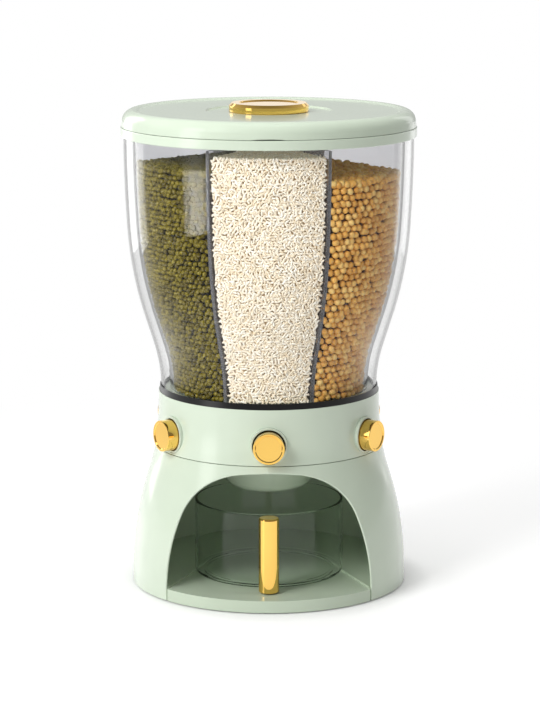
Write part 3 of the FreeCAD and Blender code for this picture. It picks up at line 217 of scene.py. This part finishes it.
def bumped(tree, shader, height, strength, distance):
    """Lifts a bump where a value is high."""
    node = tree.nodes.new("ShaderNodeBump")
    node.inputs["Strength"].default_value = strength
    node.inputs["Distance"].default_value = distance
    tree.links.new(height, node.inputs["Height"])
    tree.links.new(node.outputs["Normal"], shader.inputs["Normal"])


def roughened(tree, shader, scale, low, high, distance):
    """Varies the gloss and lifts a fine bump, as moulded surfaces have."""
    height = noise(tree, scale, detail=4)
    tree.links.new(map_range(tree, height, to_min=low, to_max=high), shader.inputs["Roughness"])
    bumped(tree, shader, height, strength=0.04, distance=distance)


def solid_material(
    name, colour, roughness, spread=0.02, metallic=0.0, coat=0.0, scale=300, distance=0.04 * MM
):
    """Moulded plastic, rubber or metal."""
    material, tree, shader = new_material(name)
    mottled(tree, shader, colour, spread, scale=18)
    roughened(tree, shader, scale, low=roughness * 0.85, high=roughness * 1.15, distance=distance)
    shader.inputs["Metallic"].default_value = metallic
    shader.inputs["Coat Weight"].default_value = coat
    shader.inputs["Coat Roughness"].default_value = 0.06
    return material


def clear_material(name, colour, ior, tint, density, clearness=1.0):
    """Clear plastic that darkens with its depth. Shadow and diffuse rays pass, so what is inside is lit."""
    material, tree, shader = new_material(name)
    mottled(tree, shader, colour, spread=0.01, scale=9)
    roughened(tree, shader, scale=30, low=0.0, high=0.015, distance=0.02 * MM)
    shader.inputs["Transmission Weight"].default_value = clearness
    shader.inputs["IOR"].default_value = ior
    through = tree.nodes.new("ShaderNodeBsdfTransparent")
    # The square root, because a ray meets two surfaces in each wall
    through.inputs["Color"].default_value = (*[part ** 0.5 for part in colour], 1)
    passing = light_rays(tree, ["Is Shadow Ray", "Is Diffuse Ray"])
    surface = mix_shaders(tree, passing, shader.outputs["BSDF"], through.outputs["BSDF"])
    tree.links.new(surface, tree.nodes["Material Output"].inputs["Surface"])
    depth = tree.nodes.new("ShaderNodeVolumeAbsorption")
    depth.inputs["Color"].default_value = (*tint, 1)
    depth.inputs["Density"].default_value = density
    tree.links.new(depth.outputs["Volume"], tree.nodes["Material Output"].inputs["Volume"])
    return material


def grain_material(name, colours, roughness, scale, glow=0.0):
    """Grain in colours that go by each seed's stored shade. It can take a painted glow: light of its own in
    those colours, standing in for light that goes through its neighbours."""
    material, tree, shader = new_material(name)
    shade = tree.nodes.new("ShaderNodeAttribute")
    shade.attribute_name = "shade"
    shades = colour_ramp(tree, shade.outputs["Fac"], colours)
    spots = noise(tree, scale, detail=2)
    blend = tree.nodes.new("ShaderNodeMix")
    blend.data_type = "RGBA"
    blend.blend_type = "SOFT_LIGHT"
    blend.inputs["Factor"].default_value = 0.5
    tree.links.new(shades, blend.inputs["A"])
    tree.links.new(spots, blend.inputs["B"])
    tree.links.new(blend.outputs["Result"], shader.inputs["Base Color"])
    # Painted glow: the seeds give off light of their own in their colours
    tree.links.new(shades, shader.inputs["Emission Color"])
    shader.inputs["Emission Strength"].default_value = glow
    shader.inputs["Roughness"].default_value = roughness
    bumped(tree, shader, spots, strength=0.2, distance=0.2 * MM)
    return material


def painted_shade_material(name, colour):
    """Painted shade: a dark colour for the core, in place of the shade between the seeds."""
    return solid_material(name, colour, roughness=0.8, spread=0.15, scale=900)


GREEN = solid_material("green_gloss", linear(210, 223, 203), roughness=0.2, coat=0.4)
TRAY_GREEN = solid_material("green_satin", linear(200, 214, 192), roughness=0.16, coat=0.4)
GOLD = solid_material(
    "gold", linear(250, 204, 108), roughness=0.07, spread=0.03, metallic=1.0, scale=60, distance=0.01 * MM
)
RUBBER = solid_material("black_rubber", linear(8, 8, 8), roughness=0.3)
SILICONE = solid_material("pale_silicone", linear(226, 228, 220), roughness=0.5)
STEEL = solid_material("steel", linear(190, 190, 188), roughness=0.3, metallic=1.0)
WHITE = solid_material("white_plastic", linear(226, 228, 222), roughness=0.35)
CLEAR = clear_material("clear_plastic", (0.99, 0.99, 0.99), ior=1.16, tint=(0.5, 0.51, 0.5), density=20)
DIVIDER = clear_material(
    "divider_plastic", (0.9, 0.9, 0.94), ior=1.2, tint=(0.36, 0.36, 0.4), density=12, clearness=0.86
)
SMOKY = clear_material("smoky_plastic", (0.97, 0.98, 0.97), ior=1.25, tint=(0.42, 0.55, 0.4), density=22)
RICE = grain_material(
    "rice_grain",
    [linear(240, 225, 198), linear(250, 239, 219), linear(254, 249, 237)],
    roughness=0.4,
    scale=700,
    # Painted glow on the rice, standing in for light scattered through the pile
    glow=0.1,
)
MUNG = grain_material(
    "mung_bean",
    [linear(86, 75, 6), linear(112, 100, 16), linear(134, 121, 32)],
    roughness=0.3,
    scale=500,
)
SOY = grain_material(
    "soybean",
    [linear(224, 162, 70), linear(243, 186, 92), linear(252, 210, 126)],
    roughness=0.35,
    scale=300,
)
# Painted shade: the cores behind the seeds take these dark colours in place of the shade among the grain
RICE_PAINTED_SHADE = painted_shade_material("rice_painted_shade", linear(176, 150, 114))
MUNG_PAINTED_SHADE = painted_shade_material("mung_painted_shade", linear(20, 20, 6))
SOY_PAINTED_SHADE = painted_shade_material("soy_painted_shade", linear(100, 62, 24))

# Screws, springs, balls and the washer aren't named here, because they are steel. Nor are the three fills,
# because grain replaces them.
DRESSED = [
    (GREEN, ["base_shell", "button_ring", "rim_band", "lid_cover", "funnel"]),
    (GREEN, [f"button_collar_{compartment}" for compartment in COMPARTMENTS]),
    (TRAY_GREEN, ["floor_tray", "lid_liner", "retaining_ring"]),
    (TRAY_GREEN, ["turntable_plate", "gate_plate", "outlet_hopper"]),
    (GOLD, ["knob", "cup_handle"]),
    (GOLD, [f"button_{compartment}" for compartment in COMPARTMENTS]),
    (RUBBER, ["rubber_feet", "container_gasket"]),
    (SILICONE, ["lid_seal"]),
    (WHITE, ["ball_cage"]),
    (WHITE, [f"gate_{compartment}" for compartment in COMPARTMENTS]),
    (CLEAR, ["container_shell", "inner_tub"]),
    (DIVIDER, ["divider_frame"]),
    (SMOKY, ["cup"]),
]


def dress_nodes():
    """Gives every carried-over node its material and smooth shading with sharp edges."""
    material_of = {name: material for material, names in DRESSED for name in names}
    for name, node in nodes.items():
        node.data.materials.clear()
        node.data.materials.append(material_of.get(name, STEEL))
        node.data.shade_smooth()
        node.data.set_sharp_from_angle(angle=math.radians(SHARP_ANGLE))


# Grain


def wall_radius(fill, azimuth, height):
    """How far the fill reaches from the axis at an azimuth and a height, or None over and under it."""
    away = polar(azimuth, 1, 0)
    hit, where, _, _ = fill.ray_cast(away * BEYOND + Vector((0, 0, height)), -away)
    return Vector((where.x, where.y)).length if hit else None


def top_height(fill, x, y):
    """The height of the fill's top over a point, or None outside it."""
    hit, where, _, _ = fill.ray_cast(Vector((x, y, OVERHEAD)), Vector((0, 0, -1)))
    return where.z if hit else None


def edge_height(fill, azimuth):
    """The height of a fill's top near the wall."""
    return top_height(fill, *polar(azimuth, NEAR_WALL, 0).xy)


def unit_grain(length, width, thickness, rings, around):
    """A smooth seed about its own centre, its length along X, as (points, faces)."""
    points, faces = [Vector((-length / 2, 0, 0))], []
    for ring in range(1, rings):
        lean = math.pi * ring / rings
        for step in range(around):
            turn = 2 * math.pi * (step + 0.5 * (ring % 2)) / around
            fat = math.sin(lean) ** SEED_BLUNTNESS
            points.append(Vector((
                -math.cos(lean) * length / 2,
                math.cos(turn) * fat * width / 2,
                math.sin(turn) * fat * thickness / 2,
            )))
    points.append(Vector((length / 2, 0, 0)))
    last = len(points) - 1
    for step in range(around):
        after = (step + 1) % around
        faces.append((0, 1 + after, 1 + step))
        faces.append((last, last - around + step, last - around + after))
        for ring in range(rings - 2):
            low = 1 + ring * around
            faces.append((low + step, low + after, low + around + after, low + around + step))
    return points, faces


def build_grains(name, seats, seed_shape, material, node, spread, tumble, rng):
    """One mesh of many seeds. A seat is a point and the outward direction of the surface there."""
    seed_points, seed_faces = seed_shape
    points, faces, shades = [], [], []
    for centre, outward in seats:
        along = Vector((rng.gauss(0, 1), rng.gauss(0, 1), rng.gauss(0, 1)))
        flat = along - outward * along.dot(outward) * (1 - tumble)
        first = flat.normalized()
        second = outward.cross(first).normalized()
        third = first.cross(second)
        turn = Matrix((first, second, third)).transposed()
        size = 1 + rng.uniform(-spread, spread)
        start = len(points)
        points += [centre + turn @ (point * size) for point in seed_points]
        faces += [tuple(start + corner for corner in face) for face in seed_faces]
        shades += [rng.random()] * len(seed_points)
    mesh = bpy.data.meshes.new(name)
    mesh.from_pydata(points, [], faces)
    mesh.attributes.new("shade", "FLOAT", "POINT").data.foreach_set("value", shades)
    mesh.materials.append(material)
    mesh.shade_smooth()
    piece = new_object(name, mesh)
    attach(piece, "turntable")
    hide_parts(node)
    return piece


def wall_seats(fill, azimuth, half, high, pitch, depth, margin, rng):
    """Seats in staggered rows over the part of a fill that lies against the tub."""
    seats, height, odd = [], GRAIN_FOOT, False
    while height < high:
        radius = wall_radius(fill, azimuth, height)
        above = wall_radius(fill, azimuth, height + MM)
        if radius is None or above is None:
            height += pitch / 2
            continue
        slope = (above - radius) / MM
        reach = radius - depth
        limit = half - margin / reach
        count = max(1, int(2 * limit * reach / pitch))
        for step in range(count + (0 if odd else 1)):
            turn = azimuth - limit + (step + (0.5 if odd else 0)) * 2 * limit / count
            turn += rng.gauss(0, STRAY_ALONG) * pitch / reach
            away = polar(turn, 1, 0)
            lift = height + rng.gauss(0, STRAY_ALONG) * pitch
            centre = away * (reach - abs(rng.gauss(0, STRAY_DEEP)) * pitch) + Vector((0, 0, lift))
            seats.append((centre, (away - Vector((0, 0, slope))).normalized()))
        height += pitch * ROW_STEP / math.hypot(1, slope)
        odd = not odd
    return seats


def top_seats(fill, pitch, depth, rng):
    """Seats in staggered rows over a fill's top, as far as it is fairly level."""
    (west, south, _), (east, north, _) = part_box(fill.name)
    seats, odd, row = [], False, south
    while row < north:
        place = west + (pitch / 2 if odd else 0)
        while place < east:
            x = place + rng.gauss(0, STRAY_TOP) * pitch
            y = row + rng.gauss(0, STRAY_TOP) * pitch
            around = [(x, y), (x + depth, y), (x - depth, y), (x, y + depth), (x, y - depth)]
            tops = [top_height(fill, *spot) for spot in around]
            if None not in tops and max(tops) - min(tops) < 2 * depth:
                sink = depth * (1 + abs(rng.gauss(0, STRAY_TOP_DEEP)))
                seats.append((Vector((x, y, tops[0] - sink)), Vector((0, 0, 1))))
            place += pitch
        row += pitch * ROW_STEP
        odd = not odd
    return seats


def side_seats(fill, azimuth, high, pitch, depth, inward, rng):
    """Seats over the flat side of a fill along a divider. inward is +1 or -1 along growing azimuth."""
    along = polar(azimuth, 1, 0)
    across = Vector((math.cos(azimuth), math.sin(azimuth), 0)) * inward
    seats, height, odd = [], GRAIN_FOOT, False
    offset = HALF_DIVIDER * MM + depth
    while height < high:
        radius = wall_radius(fill, azimuth + inward * SIDE_PROBE, height)
        if radius is None:
            height += pitch
            continue
        reach = HUB_REACH * MM + (pitch / 2 if odd else 0)
        while reach < radius - depth:
            centre = along * reach + across * (offset + abs(rng.gauss(0, STRAY_DEEP)) * pitch)
            centre.z = height + rng.gauss(0, STRAY_ALONG) * pitch
            top = top_height(fill, centre.x, centre.y)
            if top is not None and centre.z < top - depth:
                seats.append((centre, -across))
            reach += pitch
        height += pitch * ROW_STEP
        odd = not odd
    return seats


def build_core(name, fill, azimuth, half, inset, material):
    """The inside of a fill, a little smaller than the fill, behind its outermost grain. Its dark colour is
    painted shade.
    """
    points, faces = [], []
    top = edge_height(fill, azimuth) - inset
    for level in range(CORE_LEVELS + 1):
        height = GRAIN_FOOT + (top - GRAIN_FOOT) * level / CORE_LEVELS
        radius = wall_radius(fill, azimuth, height) - inset
        limit = half - (inset + CORE_GAP * MM) / radius
        points.append(polar(azimuth, CORE_TIP, height))
        for step in range(CORE_STEPS + 1):
            turn = azimuth - limit + 2 * limit * step / CORE_STEPS
            points.append(polar(turn, radius, height))
    row = CORE_STEPS + 2
    for level in range(CORE_LEVELS):
        for step in range(row):
            here, after = level * row + step, level * row + (step + 1) % row
            faces.append((here, after, after + row, here + row))
    faces.append(tuple(reversed(range(row))))
    faces.append(tuple(CORE_LEVELS * row + step for step in range(row)))
    mesh = bpy.data.meshes.new(name)
    mesh.from_pydata(points, [], faces)
    mesh.materials.append(material)
    piece = new_object(name, mesh)
    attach(piece, "turntable")


# Angles are in degrees and lengths in millimetres. half is half the angle that the fill spans. A seed's shape
# is its length, width and thickness, and its mesh's rings and sides. pitch is the step from seed to seed,
# depth how deep a seed's centre lies, and layers how many of them lie one behind another at the wall.
# spread is how much a seed's size varies, and tumble how freely it turns, from 0 flat on the surface to 1.
# open_side is the side, -1 or +1, on which an empty compartment shows the fill's flat side.
# materials are the seeds' own and the core's; the core's dark colour is painted shade between the seeds
FILLS = [
    {
        "kind": "rice",
        "node": "rice_fill",
        "azimuth": 0,
        "half": 26,
        "shape": (5.3, 2.2, 1.9, 5, 6),
        "pitch": 3.2,
        "depth": 1.2,
        "layers": 2,
        "tumble": 0.25,
        "spread": 0.12,
        "open_side": 0,
        "materials": (RICE, RICE_PAINTED_SHADE),
    },
    {
        "kind": "mung",
        "node": "mung_bean_fill",
        "azimuth": -58,
        "half": 32,
        "shape": (5.5, 4.8, 4.7, 6, 8),
        "pitch": 5.2,
        "depth": 2.6,
        "layers": 1,
        "tumble": 1.0,
        "spread": 0.08,
        "open_side": -1,
        "materials": (MUNG, MUNG_PAINTED_SHADE),
    },
    {
        "kind": "soy",
        "node": "soybean_fill",
        "azimuth": 58,
        "half": 32,
        "shape": (7.4, 6.8, 6.6, 8, 10),
        "pitch": 6.9,
        "depth": 3.5,
        "layers": 1,
        "tumble": 1.0,
        "spread": 0.06,
        "open_side": 1,
        "materials": (SOY, SOY_PAINTED_SHADE),
    },
]


def make_fill(kind, node, azimuth, half, shape, pitch, depth, layers, tumble, spread, open_side, materials):
    """The grain of one compartment, and the core behind it, whose dark colour is painted shade."""
    rng = random.Random(f"{kind} grain")
    fill = nodes[node]
    azimuth, half = math.radians(azimuth), math.radians(half)
    pitch, depth = pitch * MM, depth * MM
    high = edge_height(fill, azimuth) - depth
    margin = (HALF_DIVIDER + shape[0] / 2) * MM
    seats = []
    for layer in range(1, layers + 1):
        seats += wall_seats(fill, azimuth, half, high, pitch, layer * depth, margin, rng)
    seats += top_seats(fill, pitch, depth, rng)
    if open_side:
        seats += side_seats(fill, azimuth + open_side * half, high, pitch, depth, -open_side, rng)
    seed = unit_grain(*[size * MM for size in shape[:3]], *shape[3:])
    build_core(f"{kind}_core", fill, azimuth, half, 2 * depth, materials[1])
    return build_grains(f"{kind}_grains", seats, seed, materials[0], node, spread, tumble, rng)


# Springs


def make_coil(compartment):
    """A return spring, which closes up as its button is pressed. Here it is a copy carried with the
    turntable, so its inner end stays on it; the copy keeps its shape.
    """
    node = nodes[f"spring_{compartment}"]
    coil = new_object(f"coil_{compartment}", node.data.copy())
    coil.matrix_world = node.matrix_world.copy()
    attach(coil, "turntable")
    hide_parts(node.name)
    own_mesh(coil)


# Studio


def make_world():
    """White behind the object and softer light on it. What gloss mirrors is darker in front than behind."""
    world = bpy.data.worlds.new("studio")
    bpy.context.scene.world = world
    world.use_nodes = True
    tree = world.node_tree
    place = tree.nodes.new("ShaderNodeTexCoord")
    split = tree.nodes.new("ShaderNodeSeparateXYZ")
    tree.links.new(place.outputs["Generated"], split.inputs[0])
    matt = tree.nodes["Background"]
    matt.inputs["Color"].default_value = (1, 1, 1, 1)
    matt.inputs["Strength"].default_value = WORLD_GLOW
    mirrored = map_range(tree, split.outputs["Y"], *GLOSS_TURN, GLOSS_FRONT, GLOSS_BEHIND)
    gloss = white_glow(tree, "ShaderNodeBackground", mirrored)
    white = white_glow(tree, "ShaderNodeBackground", inside_glow(tree))
    lit = mix_shaders(tree, light_rays(tree, ["Is Glossy Ray"]), matt.outputs["Background"], gloss)
    seen = light_rays(tree, ["Is Camera Ray", "Is Transmission Ray"])
    surface = mix_shaders(tree, seen, lit, white)
    tree.links.new(surface, tree.nodes["World Output"].inputs["Surface"])


def make_floor():
    """A pale floor that keeps the object's shadow near it and is plain white further off."""
    bpy.ops.mesh.primitive_circle_add(
        vertices=96, radius=FLOOR_RADIUS, fill_type="NGON", location=(0, 0, 0)
    )
    floor = bpy.context.object
    floor.name = "floor"
    material, tree, shader = new_material("floor_white")
    floor.data.materials.append(material)
    shader.inputs["Base Color"].default_value = (0.86, 0.86, 0.86, 1)
    shader.inputs["Roughness"].default_value = 0.35
    shader.inputs["Specular IOR Level"].default_value = 0.25
    shader.inputs["Emission Color"].default_value = (1, 1, 1, 1)
    place = tree.nodes.new("ShaderNodeTexCoord")
    length = tree.nodes.new("ShaderNodeVectorMath")
    length.operation = "LENGTH"
    tree.links.new(place.outputs["Object"], length.inputs[0])
    radius = length.outputs["Value"]
    seen = light_rays(tree, ["Is Camera Ray", "Is Glossy Ray", "Is Transmission Ray"])
    lift = math_node(tree, "MULTIPLY", map_range(tree, radius, *LIFT_SPAN, to_max=FLOOR_LIFT), seen)
    tree.links.new(lift, shader.inputs["Emission Strength"])
    far = math_node(tree, "MULTIPLY", map_range(tree, radius, *WHITE_SPAN, way="SMOOTHSTEP"), seen)
    glow = white_glow(tree, "ShaderNodeEmission", inside_glow(tree))
    surface = mix_shaders(tree, far, shader.outputs["BSDF"], glow)
    tree.links.new(surface, tree.nodes["Material Output"].inputs["Surface"])


def area_lamp(name, place, target, width, height, power, mirrored=True, lit=()):
    """A soft box that looks at a point, and that shows in glossy surfaces if it is mirrored.
    With lit pieces named, it lights those alone."""
    lamp = bpy.data.lights.new(name, "AREA")
    lamp.shape = "RECTANGLE"
    lamp.size = width
    lamp.size_y = height
    lamp.energy = power
    holder = new_object(name, lamp)
    holder.location = place
    aim = Vector(target) - Vector(place)
    holder.rotation_euler = aim.to_track_quat("-Z", "Y").to_euler()
    holder.visible_camera = False
    holder.visible_transmission = mirrored
    holder.visible_glossy = mirrored
    if lit:
        receivers = bpy.data.collections.new(f"{name}_lights")
        for piece in lit:
            receivers.objects.link(piece)
        holder.light_linking.receiver_collection = receivers


def strip_lamp(name, azimuth, width, height, power):
    """A tall soft box that stands round the object at an azimuth in degrees."""
    place = polar(math.radians(azimuth), STRIP_DISTANCE, STRIP_HEIGHT)
    area_lamp(name, place, STRIP_TARGET, width, height, power)


def make_room_lamps():
    """The lamps that light everything: two from above, and strips whose upright mirror images show form."""
    area_lamp("key", (-1.4, -1.5, 1.7), (0, 0, 0.25), width=0.9, height=0.9, power=33, mirrored=False)
    area_lamp("top", (0, 0.1, 2.2), (0, 0, 0.45), width=1.0, height=1.0, power=14, mirrored=False)
    strip_lamp("left_box", azimuth=-60, width=0.5, height=2.0, power=6.5)
    strip_lamp("left_rim", azimuth=-138, width=0.6, height=1.6, power=5)
    strip_lamp("right_rim", azimuth=144, width=0.4, height=1.6, power=1.4)


def make_piece_lamps(grains):
    """The lamps that light named pieces alone: the grain, the clear walls and the knob."""
    walls = [nodes["container_shell"], nodes["inner_tub"]]
    area_lamp("grain_box", (-0.9, -1.6, 1.2), (0, 0, 0.33), width=0.35, height=0.35, power=13, lit=grains)
    area_lamp("band_box", (-1.386, -0.8, 0.11), (0, 0, 0.11), width=0.5, height=0.2, power=3, lit=walls)
    area_lamp("knob_box", (0, 1.5, 0.8), (0, 0, 0.47), width=1.2, height=0.5, power=0.9, lit=[nodes["knob"]])


def make_camera():
    """The photograph's viewpoint: 2.5 m in front, looking a little down."""
    data = bpy.data.cameras.new("camera")
    data.sensor_fit = "VERTICAL"
    data.sensor_height = 36
    data.lens = 127.7
    data.shift_x = 0.00164
    camera = new_object("camera", data)
    camera.location = (0, -2.511, 0.707)
    camera.rotation_euler = (math.radians(90 - CAMERA_DIP), 0, 0)
    bpy.context.scene.camera = camera


make_camera()
make_world()
make_floor()
make_room_lamps()
dress_nodes()
grains = [make_fill(**settings) for settings in FILLS]
for compartment in COMPARTMENTS:
    make_coil(compartment)
make_piece_lamps(grains)

bpy.context.scene.view_settings.view_transform = "Standard"
